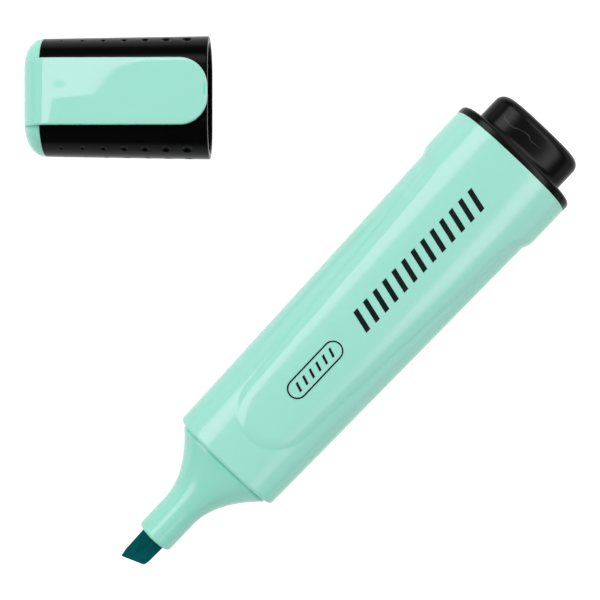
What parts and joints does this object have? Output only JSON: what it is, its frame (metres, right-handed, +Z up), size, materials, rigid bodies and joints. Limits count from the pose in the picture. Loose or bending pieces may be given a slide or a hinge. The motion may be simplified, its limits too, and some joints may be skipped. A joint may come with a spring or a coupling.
{
  "type": "highlighter pen",
  "caption": "Flat pocket highlighter with a chisel felt nib, tapered flat barrel, plugged rear and a pull-off cap with a pocket clip, shown with the cap off.",
  "frame": {"origin": "centre of the snout's front end, where the nib comes out", "axes": "+X along the pen's axis from the nib to the end plug, +Z up out of the broad face, +Y across the pen's width towards the cap lying beside it"},
  "size_m": [0.1115, 0.0932, 0.0174],
  "materials": {
    "mint_plastic": "glossy moulded pastel mint plastic",
    "black_plastic": "semi-gloss black moulded plastic",
    "black_satin": "satin black moulded plastic with a fine grain",
    "inked_felt": "dark teal ink-soaked pressed felt",
    "inked_fibre": "ink-soaked polyester fibre bundle",
    "clear_film": "thin translucent polypropylene film",
    "liner_plastic": "natural polyethylene"
  },
  "bodies": {
    "pen": {"barrel": "mint_plastic", "nib": "inked_felt", "ink_reservoir": "inked_fibre", "reservoir_wrap": "clear_film", "end_plug": "black_satin"},
    "cap": {"cap_shell": "black_plastic", "cap_end": "mint_plastic", "cap_liner": "liner_plastic"},
    "clip": {"pocket_clip": "mint_plastic"}
  },
  "joints": [
    {"name": "cap_slide", "type": "slide", "parent": "pen", "child": "cap", "axis": [0.6876, -0.7261, 0], "range_m": [0, 0.0261]},
    {"name": "clip_flex", "type": "hinge", "parent": "cap", "child": "clip", "pos_m": [0.04567, 0.07123, 0.00863], "axis": [-0.7261, -0.6876, 0], "range_deg": [0, 6]}
  ]
}
